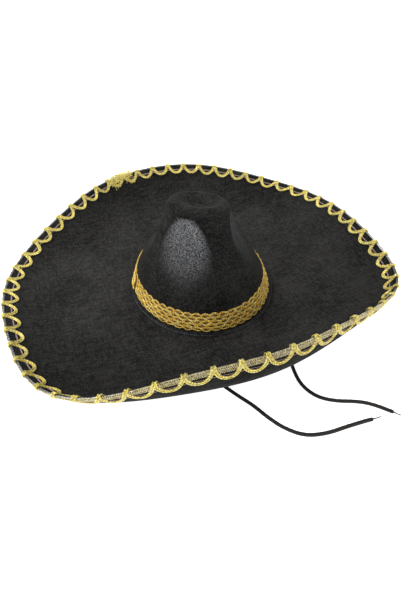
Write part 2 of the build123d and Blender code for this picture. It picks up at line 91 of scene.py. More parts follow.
class Piece:
    """Collects grids of points in millimetres and turns them into one mesh object in metres."""

    def __init__(self):
        self.points, self.faces, self.uvs, self.slots, self.paint, self.count = [], [], [], [], [], 0

    def grid(self, points, close_rows=False, close_columns=True, along=None, around=None, slot=0,
             paint=0.0, flip=False):
        """Adds rows x columns points. along and around are the texture coordinates of rows and columns."""
        rows, columns = points.shape[:2]
        i = np.arange(rows if close_rows else rows - 1)[:, None]
        j = np.arange(columns if close_columns else columns - 1)[None, :]
        i, j = [x.ravel() for x in np.broadcast_arrays(i, j)]
        i2, j2 = i + 1, j + 1
        corner = lambda a, b: (a % rows) * columns + (b % columns)
        faces = np.stack([corner(i, j), corner(i, j2), corner(i2, j2), corner(i2, j)], -1)
        along = np.arange(rows + 1, dtype=float) if along is None else np.append(along, 2 * along[-1] - along[-2])
        around = np.arange(columns + 1) / columns if around is None else np.append(around, 2 * around[-1] - around[-2])
        uvs = np.stack([np.stack([along[i], around[j]], -1), np.stack([along[i], around[j2]], -1),
                        np.stack([along[i2], around[j2]], -1), np.stack([along[i2], around[j]], -1)], 1)
        if flip:
            faces, uvs = faces[:, ::-1], uvs[:, ::-1]
        self.add(points.reshape(-1, 3), faces, uvs, slot, np.broadcast_to(paint, (rows, columns)).ravel())

    def add(self, points, faces, uvs, slot, paint):
        self.points.append(points)
        self.faces.append(faces + self.count)
        self.uvs.append(uvs)
        self.slots.append(np.full(len(faces), slot))
        self.paint.append(paint)
        self.count += len(points)

    def fan(self, ring, middle, slot=0, flip=False, paint=0.0):
        """Closes a ring with quads and triangles drawn to a middle point, as a small grid."""
        rows = np.stack([ring, ring * 0.5 + middle * 0.5, ring * 0.02 + middle * 0.98])
        self.grid(rows, slot=slot, flip=flip, paint=paint)

    def tube(self, path, radius, up=(0, 0, 1), sides=6, closed=False, slot=0, flat=1.0, caps=True,
             start=0.0, paint=0.0):
        """A tube along a path. flat below 1 makes it an oval that lies flat; up is the way it lies."""
        path = np.asarray(path, float)
        up = np.broadcast_to(np.asarray(up, float), path.shape)
        if closed:
            tangent = unit(np.roll(path, -1, 0) - np.roll(path, 1, 0))
        else:
            tangent = unit(np.gradient(path, axis=0))
        side = unit(np.cross(tangent, up))
        top = np.cross(side, tangent)
        radius = np.broadcast_to(np.asarray(radius, float), (len(path),))
        if caps and not closed:
            path = np.concatenate([path[:1] - tangent[:1] * radius[0] * 0.5, path,
                                   path[-1:] + tangent[-1:] * radius[-1] * 0.5])
            side, top = [np.concatenate([x[:1], x, x[-1:]]) for x in (side, top)]
            radius = np.concatenate([[radius[0] * 0.35], radius, [radius[-1] * 0.35]])
        turn = FULL_TURN * np.arange(sides) / sides
        ring = (side[:, None] * np.cos(turn)[None, :, None] + top[:, None] * (flat * np.sin(turn))[None, :, None])
        points = path[:, None] + ring * radius[:, None, None]
        step = np.linalg.norm(np.diff(path, axis=0), axis=1)
        along = start + np.concatenate([[0], np.cumsum(step)])
        self.grid(points, close_rows=closed, along=along, slot=slot, paint=paint, flip=True)

    def make(self, name, materials):
        points = np.concatenate(self.points) * MM
        faces = np.concatenate(self.faces)
        mesh = bpy.data.meshes.new(name)
        mesh.vertices.add(len(points))
        mesh.vertices.foreach_set("co", points.astype(np.float32).ravel())
        mesh.loops.add(faces.size)
        mesh.loops.foreach_set("vertex_index", faces.astype(np.int32).ravel())
        mesh.polygons.add(len(faces))
        mesh.polygons.foreach_set("loop_start", (np.arange(len(faces)) * 4).astype(np.int32))
        mesh.polygons.foreach_set("material_index", np.concatenate(self.slots).astype(np.int32))
        mesh.update(calc_edges=True)
        layer = mesh.uv_layers.new(name="strand")
        layer.data.foreach_set("uv", np.concatenate(self.uvs).astype(np.float32).ravel())
        paint = mesh.attributes.new("paint", "FLOAT", "POINT")
        paint.data.foreach_set("value", np.concatenate(self.paint).astype(np.float32))
        mesh.polygons.foreach_set("use_smooth", np.full(len(faces), True))
        for material in materials:
            mesh.materials.append(material)
        mesh.validate()
        obj = bpy.data.objects.new(name, mesh)
        bpy.context.scene.collection.objects.link(obj)
        return obj


def place(obj, nodes):
    """The piece rides on the hat and stands for these CAD nodes."""
    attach(obj, "root")
    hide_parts(*nodes)
    return obj


# ---- the hat's surfaces ------------------------------------------------------------------

def bezier(controls, t):
    (ax, ay), (bx, by), (cx, cy), (dx, dy) = controls
    s = 1 - t
    x = s**3 * ax + 3 * s * s * t * bx + 3 * s * t * t * cx + t**3 * dx
    y = s**3 * ay + 3 * s * s * t * by + 3 * s * t * t * cy + t**3 * dy
    along = 3 * (s * s * (bx - ax) + 2 * s * t * (cx - bx) + t * t * (dx - cx))
    up = 3 * (s * s * (by - ay) + 2 * s * t * (cy - by) + t * t * (dy - cy))
    return x, y, along, up


def rim(a):
    radius = (235 - 7 * np.cos(a) - 11.5 * np.cos(2 * a) - 6.5 * np.cos(3 * a) - 2 * np.cos(4 * a)
              - 4 * np.cos(5 * a) + 4.5 * np.cos(6 * a) - 3.5 * np.sin(a))
    height = BRIM_TOP + (43.5 + np.cos(a) + 19.5 * np.cos(2 * a) + np.cos(3 * a) + 1.5 * np.cos(4 * a)
                         - 4 * np.cos(6 * a) - 5 * np.sin(a) - 4 * np.sin(2 * a) - 1.5 * np.sin(3 * a))
    return radius, height


class Brim:
    """The brim's top line at each of an array of angles."""

    def __init__(self, a):
        a = np.asarray(a, float)
        radius, height = rim(a)
        self.x, self.y = FLAT_HALF_WIDTH * np.sin(a), -FLAT_HALF_LENGTH * np.cos(a)
        reach_x, reach_y = radius * np.sin(a) - self.x, -radius * np.cos(a) - self.y
        reach = np.hypot(reach_x, reach_y)
        self.out_x, self.out_y = reach_x / reach, reach_y / reach
        leave = np.radians(5.5 + 3.5 * np.cos(2 * a))
        curl = np.radians(51 + 26 * np.cos(a) + 22 * np.cos(2 * a) - 3 * np.sin(a))
        first = reach * (0.58 + 0.12 * np.cos(a))
        rise = height - BRIM_TOP
        self.controls = ((0, 0), (first, first * np.tan(leave)),
                         (reach - 0.7 * rise / np.tan(curl), 0.3 * rise), (reach, rise))

    def put(self, outwards, height):
        return stack(self.x + self.out_x * outwards, self.y + self.out_y * outwards, BRIM_TOP + height)

    def point(self, t, above):
        x, y, along, up = bezier(self.controls, t)
        length = np.hypot(along, up)
        return self.put(x - above * up / length, y + above * along / length)

    def near_edge(self, inward, above):
        x, y, along, up = bezier(self.controls, 1.0)
        length = np.hypot(along, up)
        beyond = np.minimum(inward, 0)
        across, climb = along / length, up / length
        outer = self.put(x - beyond * across - above * climb, y - beyond * climb + above * across)
        low, high = np.zeros_like(x * inward), np.ones_like(x * inward)
        for _ in range(20):
            middle = (low + high) / 2
            px, py, _, _ = bezier(self.controls, middle)
            far = np.hypot(x - px, y - py) > inward
            low, high = np.where(far, middle, low), np.where(far, high, middle)
        inner = self.point(low, above)
        return np.where((np.asarray(inward) <= 0)[..., None], outer, inner)


RIM_ANGLES = np.linspace(0, FULL_TURN, 1441)
_edge = Brim(RIM_ANGLES).near_edge(np.zeros(1441), 0.0)
RIM_LENGTHS = np.concatenate([[0], np.cumsum(np.linalg.norm(np.diff(_edge, axis=0), axis=1))])
EDGE_LENGTH = RIM_LENGTHS[-1]
PITCH = EDGE_LENGTH / SCALLOPS


def angle_at(fraction):
    return np.interp((fraction % 1) * EDGE_LENGTH, RIM_LENGTHS, RIM_ANGLES)


WIRE_CENTRE = 0.05 + EDGE_WIRE / 2      # beyond the felt's edge
WRAP = 3.6                              # half of the way round the edge, measured along the braid


def wrap(fraction, across, lift):
    """A point on the brim's edge. across is measured round the edge, positive on the top face and
    negative underneath; lift is the height above the felt."""
    brim = Brim(angle_at(fraction))
    turn = np.clip(across / WRAP, -1, 1) * pi / 2
    radius = BRIM_FELT / 2 + lift
    rolled = brim.near_edge(-(WIRE_CENTRE + radius * np.cos(turn)), -BRIM_FELT / 2 + radius * np.sin(turn))
    inward = np.maximum(np.abs(across) - WRAP, 0) - WIRE_CENTRE
    above = np.where(across > 0, lift, -BRIM_FELT - lift)
    laid = brim.near_edge(inward, above)
    return np.where((np.abs(across) < WRAP)[..., None], rolled, laid)


def across_for(inward, side):
    return side * (inward + WIRE_CENTRE + WRAP)


def dent(a, height):
    depth = np.zeros_like(a * height)
    for centre in DENT_ANGLES:
        aside = (a - radians(centre) + pi) % FULL_TURN - pi
        upward = (height / CROWN_HEIGHT - DENT_CENTRE) * CROWN_HEIGHT / DENT_HALF_HEIGHT
        reach = np.hypot(aside / radians(DENT_HALF_ANGLE), upward)
        depth += np.where(reach < 1, DENT_DEPTH * (1 - np.minimum(reach, 1)**3)**2, 0)
    return depth


def crown_face(a, u):
    wall = bezier(CROWN_WALL, np.clip(u, 0, 1))
    dish = bezier(CROWN_DISH, np.clip(u - 1, 0, 1))
    scale, share = [np.where(u <= 1, w, d) for w, d in zip(wall[:2], dish[:2])]
    height = share * CROWN_HEIGHT
    x = scale * CROWN_HALF_WIDTH * np.sin(a)
    y = -scale * (1 - CROWN_SQUEEZE * share**2) * CROWN_HALF_LENGTH * np.cos(a)
    fade = np.clip((1.5 - u) * 2, 0, 1)
    kept = 1 - fade * dent(a, height) / np.hypot(x, y)
    x, y = x * kept, y * kept
    lean = np.maximum(0, share)**1.5
    return stack(x + CROWN_LEAN[0] * lean, y + CROWN_LEAN[1] * lean,
                 CROWN_ROOT + height + share**2 * CROWN_TILT * x)


def crown_point(a, u, outside=0.0):
    a, u = np.broadcast_arrays(np.asarray(a, float), np.asarray(u, float))
    step = 1e-3
    up = crown_face(a, np.minimum(2, u + step)) - crown_face(a, np.maximum(0, u - step))
    round_it = crown_face(a + step, u) - crown_face(a - step, u)
    return crown_face(a, u) + unit(np.cross(round_it, up)) * np.asarray(outside)[..., None]


WALL_U = np.linspace(0, 1, 400)
WALL_HEIGHTS = bezier(CROWN_WALL, WALL_U)[1] * CROWN_HEIGHT


def wall_share(height):
    return np.interp(height, WALL_HEIGHTS, WALL_U)


def ellipse(half_length, half_width, height, a):
    return stack(half_width * np.sin(a), -half_length * np.cos(a), height)


# ---- materials -----------------------------------------------------------------------------

class Nodes:
    """A short way to write a node material."""

    def __init__(self, name):
        self.material = bpy.data.materials.new(name)
        self.material.use_nodes = True
        self.tree = self.material.node_tree
        self.tree.nodes.clear()
        self.output = self.new("ShaderNodeOutputMaterial")

    def new(self, kind, inputs=(), **settings):
        node = self.tree.nodes.new(kind)
        for key, value in settings.items():
            setattr(node, key, value)
        for key, value in dict(inputs).items():
            self.set(node.inputs[key], value)
        return node

    def set(self, socket, value):
        if isinstance(value, bpy.types.NodeSocket):
            self.tree.links.new(value, socket)
        else:
            socket.default_value = value

    def math(self, operation, a, b=0.0, c=0.0):
        return self.new("ShaderNodeMath", {0: a, 1: b, 2: c}, operation=operation).outputs[0]

    def position(self):
        return self.new("ShaderNodeTexCoord").outputs["Object"]

    def strand(self):
        """The distances along and around a strand."""
        return self.new("ShaderNodeSeparateXYZ", {0: self.new("ShaderNodeUVMap", uv_map="strand").outputs[0]}).outputs

    def mix(self, share, a, b):
        node = self.new("ShaderNodeMix", data_type="RGBA")
        for index, value in ((0, share), (6, a), (7, b)):
            self.set(node.inputs[index], value)
        return node.outputs[2]

    def ramp(self, share, low, high):
        return self.new("ShaderNodeMapRange", {"Value": share, "From Min": low, "From Max": high},
                        interpolation_type="SMOOTHSTEP").outputs[0]

    def noise(self, vector, scale, detail=3.0, roughness=0.6):
        return self.new("ShaderNodeTexNoise", {"Vector": vector, "Scale": scale, "Detail": detail,
                                               "Roughness": roughness}).outputs["Fac"]

    def stretched(self, vector, scale):
        return self.new("ShaderNodeMapping", {"Vector": vector, "Scale": scale}).outputs[0]

    def bump(self, height, strength, distance):
        return self.new("ShaderNodeBump", {"Height": height, "Strength": strength, "Distance": distance}).outputs[0]

    def surface(self, **inputs):
        shader = self.new("ShaderNodeBsdfPrincipled")
        for key, value in inputs.items():
            self.set(shader.inputs[key.replace("_", " ")], value)
        self.tree.links.new(shader.outputs[0], self.output.inputs[0])
        return self.material


def rgb(r, g, b):
    return (r, g, b, 1.0)


def felt(name, dark, light, dent_highlight, sheen):
    """Black felt, made stiff by pressing: matted short fibres with a faint cross grain. 'paint' marks where a highlight
    is painted into the colour: a lighter speckled grey in the crown's dents that stands in for the sheen of the lamps
    on them.
    """
    n = Nodes(name)
    where = n.position()
    mottle = n.noise(where, 16.0, 4.0, 0.6)
    grain_x = n.noise(n.stretched(where, (70, 420, 300)), 1.0, 3.0, 0.7)
    grain_y = n.noise(n.stretched(where, (420, 90, 300)), 1.0, 3.0, 0.7)
    fibre = n.noise(where, 520.0, 4.0, 0.8)
    grain = n.math("MULTIPLY", n.math("ADD", grain_x, grain_y), 0.5)
    matted = n.math("ADD", n.math("MULTIPLY", grain, 0.55), n.math("MULTIPLY", fibre, 0.45))
    share = n.math("ADD", n.math("MULTIPLY", n.ramp(matted, 0.43, 0.6), 0.85),
                   n.math("MULTIPLY", n.ramp(mottle, 0.35, 0.68), 0.3))
    colour = n.mix(share, dark, light)
    highlight_mask = n.new("ShaderNodeAttribute", attribute_name="paint").outputs["Fac"]
    speck = n.ramp(n.noise(where, 640.0, 3.0, 0.75), 0.42, 0.62)
    speckled = n.math("MULTIPLY", highlight_mask, n.math("MULTIPLY_ADD", speck, 1.3, 0.1))
    # painted highlight: the crown's dents are painted a lighter grey where the lamps make the felt shine
    colour = n.mix(speckled, colour, dent_highlight)
    height = n.math("ADD", n.math("MULTIPLY", fibre, 0.7), grain)
    return n.surface(Base_Color=colour, Roughness=n.math("MULTIPLY_ADD", share, 0.1, 0.8),
                     Specular_IOR_Level=0.08, Sheen_Weight=sheen, Sheen_Roughness=0.4,
                     Sheen_Tint=rgb(0.8, 0.82, 0.9), Normal=n.bump(height, 0.7, 0.0007))


def metallic_thread(name, groove_shade, body, glint_highlight, twist, roughness=0.34, metallic=0.6):
    """Thread wound with metal foil: the twist shows as slanting ridges. Painted shade darkens the grooves between them,
    and painted highlights put glints on them.
    """
    n = Nodes(name)
    where = n.position()
    strand = n.strand()
    wound = n.math("ADD", n.math("MULTIPLY", strand[0], 1 / twist), strand[1])
    ridge = n.math("MULTIPLY_ADD", n.math("SINE", n.math("MULTIPLY", wound, FULL_TURN)), 0.5, 0.5)
    glint = n.ramp(n.noise(where, 520.0, 2.0, 0.7), 0.48, 0.6)
    patch = n.ramp(n.noise(where, 380.0, 3.0, 0.65), 0.38, 0.62)
    lit = n.math("MULTIPLY", n.math("MULTIPLY_ADD", ridge, 0.7, 0.3), n.math("MULTIPLY_ADD", patch, 1.1, 0.42))
    # painted shade and painted highlight: the colour darkens to the groove colour between the twist's ridges, and
    # glints mix in the highlight colour
    colour = n.mix(lit, groove_shade, body)
    colour = n.mix(n.math("MULTIPLY", glint, n.math("MULTIPLY_ADD", ridge, 0.7, 0.3)), colour, glint_highlight)
    height = n.math("ADD", ridge, n.math("MULTIPLY", glint, 0.3))
    return n.surface(Base_Color=colour, Metallic=metallic, Specular_IOR_Level=0.6,
                     Roughness=n.math("MULTIPLY_ADD", patch, -0.1, roughness + 0.06),
                     Normal=n.bump(height, 0.9, 0.0004))


def soft_thread(name, dark, light, roughness, sheen, twist=1.4):
    """Plain twisted or braided thread."""
    n = Nodes(name)
    where = n.position()
    strand = n.strand()
    wound = n.math("ADD", n.math("MULTIPLY", strand[0], 1 / twist), n.math("MULTIPLY", strand[1], 2.0))
    ridge = n.math("MULTIPLY_ADD", n.math("SINE", n.math("MULTIPLY", wound, FULL_TURN)), 0.5, 0.5)
    fibre = n.noise(where, 1300.0, 3.0, 0.7)
    colour = n.mix(n.math("MULTIPLY_ADD", fibre, 0.8, n.math("MULTIPLY", ridge, 0.3)), dark, light)
    return n.surface(Base_Color=colour, Roughness=n.math("MULTIPLY_ADD", fibre, 0.15, roughness), Sheen_Weight=sheen,
                     Sheen_Roughness=0.5, Normal=n.bump(n.math("ADD", ridge, fibre), 0.5, 0.0003))


def chin_cord_material(name):
    """Tubular braid: crossing plaits all round. Painted shade keeps it black near the hat, where the brim shades it,
    and it pales to brown-grey towards the lit end.
    """
    n = Nodes(name)
    where = n.position()
    strand = n.strand()
    along, around = strand[0], strand[1]
    turned = n.math("MULTIPLY", around, 6.0)
    one = n.math("SINE", n.math("MULTIPLY", n.math("ADD", n.math("MULTIPLY", along, 0.42), turned), FULL_TURN))
    two = n.math("SINE", n.math("MULTIPLY", n.math("SUBTRACT", n.math("MULTIPLY", along, 0.42), turned), FULL_TURN))
    plait = n.math("MULTIPLY_ADD", n.math("MAXIMUM", one, two), 0.5, 0.5)
    fibre = n.noise(where, 1800.0, 3.0, 0.7)
    # painted shade: the cord is darkest near the hat, where the brim shades it
    out_of_shade = n.new("ShaderNodeAttribute", attribute_name="paint").outputs["Fac"]
    dark = n.mix(out_of_shade, rgb(0.0015, 0.0015, 0.0015), rgb(0.008, 0.007, 0.006))
    light = n.mix(out_of_shade, rgb(0.006, 0.006, 0.006), rgb(0.035, 0.03, 0.026))
    colour = n.mix(n.math("MULTIPLY_ADD", plait, 0.6, n.math("MULTIPLY", fibre, 0.4)), dark, light)
    return n.surface(Base_Color=colour, Roughness=n.math("MULTIPLY_ADD", fibre, 0.15, 0.62),
                     Specular_IOR_Level=0.25, Sheen_Weight=0.03, Sheen_Roughness=0.5,
                     Normal=n.bump(n.math("ADD", plait, n.math("MULTIPLY", fibre, 0.3)), 0.8, 0.0004))


def tape(name, dark, light):
    """Woven cotton tape: warp and weft ribs, with the ends of fibres standing out."""
    n = Nodes(name)
    where = n.position()
    strand = n.strand()
    warp = n.math("SINE", n.math("MULTIPLY", strand[0], FULL_TURN / 1.2))
    weft = n.math("SINE", n.math("MULTIPLY", strand[1], FULL_TURN / 0.9))
    weave = n.math("MULTIPLY_ADD", n.math("MULTIPLY", warp, weft), 0.5, 0.5)
    fibre = n.noise(where, 1200.0, 3.0, 0.7)
    colour = n.mix(n.math("MULTIPLY_ADD", fibre, 0.7, n.math("MULTIPLY", weave, 0.3)), dark, light)
    return n.surface(Base_Color=colour, Roughness=n.math("MULTIPLY_ADD", fibre, 0.12, 0.8), Sheen_Weight=0.15,
                     Sheen_Roughness=0.5, Normal=n.bump(n.math("ADD", weave, fibre), 0.5, 0.0003))


def wire_material(name):
    n = Nodes(name)
    where = n.position()
    drawn = n.noise(n.stretched(where, (60, 60, 900)), 1.0, 3.0, 0.7)
    return n.surface(Base_Color=n.mix(drawn, rgb(0.22, 0.22, 0.23), rgb(0.5, 0.5, 0.52)), Metallic=1.0,
                     Roughness=n.math("MULTIPLY_ADD", drawn, 0.2, 0.3), Normal=n.bump(drawn, 0.2, 0.0002))


# the third colour is the lighter grey of the painted highlight in the crown's dents
BLACK_FELT = felt("black_felt", rgb(0.001, 0.001, 0.001), rgb(0.025, 0.0247, 0.0231), rgb(0.27, 0.274, 0.287), 0.012)
CUT_EDGE = felt("felt_cut_edge", rgb(0.03, 0.03, 0.04), rgb(0.13, 0.13, 0.16), rgb(0.3, 0.3, 0.36), 0.1)
# each gold: groove colour for painted shade, body colour, glint colour for painted highlights
PALE_GOLD = metallic_thread("pale_gold_thread", rgb(0.22, 0.14, 0.006), rgb(0.92, 0.76, 0.14), rgb(1.0, 0.96, 0.5), 3.2)
CHAIN_GOLD = metallic_thread("pale_chain_thread", rgb(0.16, 0.09, 0.02), rgb(0.92, 0.8, 0.36), rgb(1.0, 0.97, 0.8), 2.4)
DEEP_GOLD = metallic_thread("deep_gold_thread", rgb(0.05, 0.013, 0.0005), rgb(0.95, 0.56, 0.035), rgb(1.0, 0.92, 0.34),
                            2.6, roughness=0.26, metallic=0.3)
GOLD_BACKING = soft_thread("gold_backing", rgb(0.012, 0.003, 0.0005), rgb(0.085, 0.028, 0.004), 0.75, 0.05)
PALE_THREAD = soft_thread("pale_thread", rgb(0.24, 0.15, 0.13), rgb(0.6, 0.45, 0.4), 0.6, 0.2)
BLACK_THREAD = soft_thread("black_thread", rgb(0.002, 0.002, 0.002), rgb(0.009, 0.009, 0.009), 0.8, 0.02)
BLACK_CORD = chin_cord_material("black_chin_cord")
BLACK_TAPE = tape("black_tape", rgb(0.006, 0.006, 0.006), rgb(0.025, 0.025, 0.025))
SWEATBAND_TAPE = tape("sweatband_tape", rgb(0.01, 0.01, 0.01), rgb(0.045, 0.043, 0.042))
WIRE = wire_material("edge_wire")


# ---- camera and lights ------------------------------------------------------------------------

scene = bpy.context.scene
AZIMUTH, ELEVATION, ROLL = radians(-19.05), radians(41.35), radians(-6.11)
ahead = Vector((-sin(AZIMUTH) * cos(ELEVATION), cos(AZIMUTH) * cos(ELEVATION), -sin(ELEVATION)))
level = Vector((cos(AZIMUTH), sin(AZIMUTH), 0))
upright = level.cross(ahead)
right = level * cos(ROLL) + upright * sin(ROLL)
top = upright * cos(ROLL) - level * sin(ROLL)

lens = bpy.data.cameras.new("camera")
lens.sensor_fit = "HORIZONTAL"
lens.sensor_width = 36.0
lens.lens = 36.0 * 437.86 / 401
lens.clip_start, lens.clip_end = 0.01, 50
camera = bpy.data.objects.new("camera", lens)
facing = Matrix((right, top, -ahead)).transposed().to_4x4()
facing.translation = Vector((-0.1532, -0.4382, 0.3746))
camera.matrix_world = facing
scene.collection.objects.link(camera)
scene.camera = camera

world = bpy.data.worlds.new("studio")
scene.world = world
world.use_nodes = True
world.node_tree.nodes["Background"].inputs[0].default_value = (1, 1, 1, 1)
world.node_tree.nodes["Background"].inputs[1].default_value = 0.6
scene.view_settings.view_transform = "Standard"
scene.view_settings.look = "None"


def aimed_light(name, position, target, power, size, cone=None):
    """A soft lamp, or a soft spotlight that fades towards the edge of its cone."""
    data = bpy.data.lights.new(name, "SPOT" if cone else "AREA")
    data.energy = power
    if cone:
        data.spot_size, data.spot_blend, data.shadow_soft_size = radians(cone), 1.0, size
    else:
        data.shape, data.size = "DISK", size
    light = bpy.data.objects.new(name, data)
    light.location = position
    light.rotation_euler = (Vector(target) - Vector(position)).to_track_quat("-Z", "Y").to_euler()
    scene.collection.objects.link(light)


aimed_light("key_left", (-1.1, 0.25, 1.2), (-0.21, 0.03, 0.05), 112, 0.2, cone=25)
aimed_light("back", (-0.2, 1.3, 1.1), (0.02, 0.3, 0.05), 165, 0.25, cone=26)
aimed_light("back_left", (0.6, -0.75, 1.7), (-0.06, 0.22, 0.03), 190, 0.25, cone=11)
aimed_light("right", (1.2, 0.6, 1.0), (0.22, 0.08, 0.05), 72, 0.25, cone=24)
aimed_light("front", (0.45, -1.3, 0.3), (0.03, -0.08, 0.05), 46, 0.2, cone=9)


def floor_material():
    n = Nodes("studio_floor")
    where = n.position()
    tone = n.mix(n.noise(where, 3.0, 2.0, 0.5), rgb(0.93, 0.93, 0.93), rgb(0.96, 0.96, 0.96))
    return n.surface(Base_Color=tone, Roughness=0.9, Emission_Color=rgb(1, 1, 1), Emission_Strength=0.95)


floor_piece = Piece()
floor_line = np.linspace(-4000, 4000, 9)
floor_piece.grid(stack(*np.meshgrid(floor_line, floor_line), 0.0), close_columns=False)
floor = floor_piece.make("studio_floor", [floor_material()])


# ---- chin cords -----------------------------------------------------------------------------------

def smooth_line(name, route):
    """The cord's line: one NURBS spline through the route's control points, read back as points in mm."""
    data = bpy.data.curves.new(name, "CURVE")
    data.dimensions = "3D"
    data.resolution_u = 24
    spline = data.splines.new("NURBS")
    spline.points.add(len(route) - 1)
    for point, (x, y) in zip(spline.points, route):
        point.co = (x * MM, y * MM, CORD_HEIGHT * MM, 1)
    spline.order_u = 3
    spline.use_endpoint_u = True
    guide = bpy.data.objects.new(name, data)
    scene.collection.objects.link(guide)
    bpy.context.view_layer.update()
    mesh = bpy.data.meshes.new_from_object(guide.evaluated_get(bpy.context.evaluated_depsgraph_get()))
    points = np.array([v.co for v in mesh.vertices]) / MM
    bpy.data.objects.remove(guide)
    lengths = np.concatenate([[0], np.cumsum(np.linalg.norm(np.diff(points, axis=0), axis=1))])
    even = np.linspace(0, lengths[-1], int(lengths[-1] / 0.6))
    return np.stack([np.interp(even, lengths, points[:, k]) for k in range(3)], -1), lengths[-1]


def braided_tube(piece, path, radius, out_of_shade, sides=24, plaits=6, ribs=3, lay=5.5):
    """A tubular braid: crossing plaits and a few lengthwise ribs stand out of the surface."""
    tangent = unit(np.gradient(path, axis=0))
    side = unit(np.cross(tangent, (0.0, 0.0, 1.0)))
    up = np.cross(side, tangent)
    along = np.concatenate([[0], np.cumsum(np.linalg.norm(np.diff(path, axis=0), axis=1))])
    turn = FULL_TURN * np.arange(sides) / sides
    one = np.sin(turn[None] * plaits + FULL_TURN * along[:, None] / lay)
    two = np.sin(turn[None] * plaits - FULL_TURN * along[:, None] / lay)
    relief = 0.07 * np.maximum(one, two) + 0.09 * np.cos(ribs * turn[None] + 0.6 + 0.01 * along[:, None])
    flatten = 1 - 0.1 * np.abs(np.sin(turn))[None]
    around = np.broadcast_to(np.asarray(radius, float), (len(path),))[:, None] * flatten * (1 + relief - 0.06)
    outward = side[:, None] * np.cos(turn)[None, :, None] + up[:, None] * np.sin(turn)[None, :, None]
    points = path[:, None] + outward * around[..., None]
    # painted shade along the cord, kept in the 'paint' attribute
    paint = np.broadcast_to(np.asarray(out_of_shade, float), (len(path),))[:, None]
    piece.grid(points, along=along, paint=paint, flip=True)
    piece.fan(points[-1], path[-1], paint=out_of_shade[-1] if np.ndim(out_of_shade) else out_of_shade, flip=True)
    piece.fan(points[0], path[0], paint=out_of_shade[0] if np.ndim(out_of_shade) else out_of_shade)


def chin_cord(side, route):
    path, length = smooth_line(f"guide_{side}", route)
    share = np.linspace(0, 1, len(path))
    # painted shade: 0 near the hat, where the brim shades the cord, rising to 1 towards its end
    out_of_shade = np.clip((share - 0.25) / 0.6, 0, 1)
    cord = Piece()
    braided_tube(cord, path, CORD_RADIUS, out_of_shade)
    cord = place(cord.make(f"chin_cord_{side}_braid", [BLACK_CORD]), [f"chin_cord_{side}"])

    # the crimped end, a little wider than the cord, with the bare core standing out of it
    ahead_of = unit(path[-1] - path[-4])
    steps = np.linspace(0, TIP_SLEEVE, 9)
    sleeve = path[-1] + ahead_of * steps[:, None]
    widths = CORD_RADIUS * np.interp(steps, [0, 1.2, 3.2, TIP_SLEEVE], [0.98, 1.0, 0.96, 0.55])
    tip = Piece()
    braided_tube(tip, sleeve, widths, 1.0)
    core = path[-1] + ahead_of * np.linspace(TIP_SLEEVE - 1, TIP_SLEEVE + TIP_CORE - 0.3, 14)[:, None]
    core = core + unit(np.cross(ahead_of, (0, 0, 1.0))) * (0.25 * np.sin(np.linspace(0, 3, 14)))[:, None]
    tip.tube(core, 0.55, sides=10, slot=1, paint=1.0)
    rng = np.random.default_rng(11 if side == "left" else 12)
    for _ in range(9):      # fibres that stand out of the cut braid
        turn = rng.uniform(0, pi)
        outward = unit(np.cross(ahead_of, (0, 0, 1.0))) * cos(turn) + np.array((0, 0, 1.0)) * abs(sin(turn)) * 0.8
        reach = np.linspace(0, rng.uniform(1.5, 3.2), 6)[:, None]
        fibre = sleeve[-3] + outward * 0.9 + ahead_of * reach + outward * 0.06 * reach**2
        tip.tube(fibre, 0.09, sides=4, slot=1, paint=1.0)
    tip = place(tip.make(f"chin_cord_{side}_end", [BLACK_CORD, BLACK_THREAD]), [f"chin_cord_{side}_tip"])
    cord_tab(side, route)


def cord_tab(side, route):
    """A folded tape that holds the cord under the brim, with a line of stitches across it."""
    (sx, sy), (nx, ny) = route[:2]
    back = unit(np.array((sx - nx, sy - ny, 0.0)))
    across = np.array((-back[1], back[0], 0.0))
    start = np.array((sx, sy, 0.0))
    half, mid = TAB_WIDTH / 2, (TAB_BOTTOM + TAB_TOP) / 2
    thick = (TAB_TOP - TAB_BOTTOM) / 2
    loop = np.linspace(0, FULL_TURN, 48, endpoint=False)
    squash = lambda v, p: np.sign(v) * np.abs(v)**p
    reach = TAB_LENGTH / 2 + squash(np.cos(loop), 0.25) * TAB_LENGTH / 2
    # the tape is thickest where it is folded round the cord, and thin at its sewn end
    body = np.interp(reach, [0, 3.5, TAB_LENGTH], [1.0, 0.75, 0.45])
    lift = mid + squash(np.sin(loop), 0.6) * thick * body
    lift = np.maximum(lift, TAB_BOTTOM)
    widths = np.concatenate([[-half], np.linspace(-half + 0.3, half - 0.3, 18), [half]])
    inset = np.concatenate([[0.75], np.ones(18), [0.75]])
    points = (start + across * widths[:, None, None] + back * reach[None, :, None]
              + np.array((0, 0, 1.0)) * (mid + (lift - mid)[None, :, None] * inset[:, None, None]))
    tab = Piece()
    tab.grid(points, along=widths, around=np.cumsum(np.ones(48)) * 0.6, slot=0)
    tab.fan(points[0], points[0].mean(0), flip=True)
    tab.fan(points[-1], points[-1].mean(0))
    for row in np.linspace(-half + 1, half - 1, 7):
        for reach_to in (5.0, 10.5):
            seat = start + across * row + back * reach_to
            bottom = mid - thick * np.interp(reach_to, [0, 3.5, TAB_LENGTH], [1.0, 0.75, 0.45]) - 0.02
            sag = (bottom + 0.12 * np.linspace(-1, 1, 5)**2)[:, None]
            stitch = seat + across * np.linspace(-0.5, 0.5, 5)[:, None] + np.array((0, 0, 1.0)) * sag
            tab.tube(stitch, 0.14, sides=5, slot=1)
    tab = tab.make(f"chin_cord_{side}_tape", [BLACK_TAPE, BLACK_THREAD])
    place(tab, [f"chin_cord_{side}_tab"])


chin_cord("left", LEFT_CORD)
chin_cord("right", RIGHT_CORD)


# ---- felt: brim, crown and sweatband --------------------------------------------------------------------

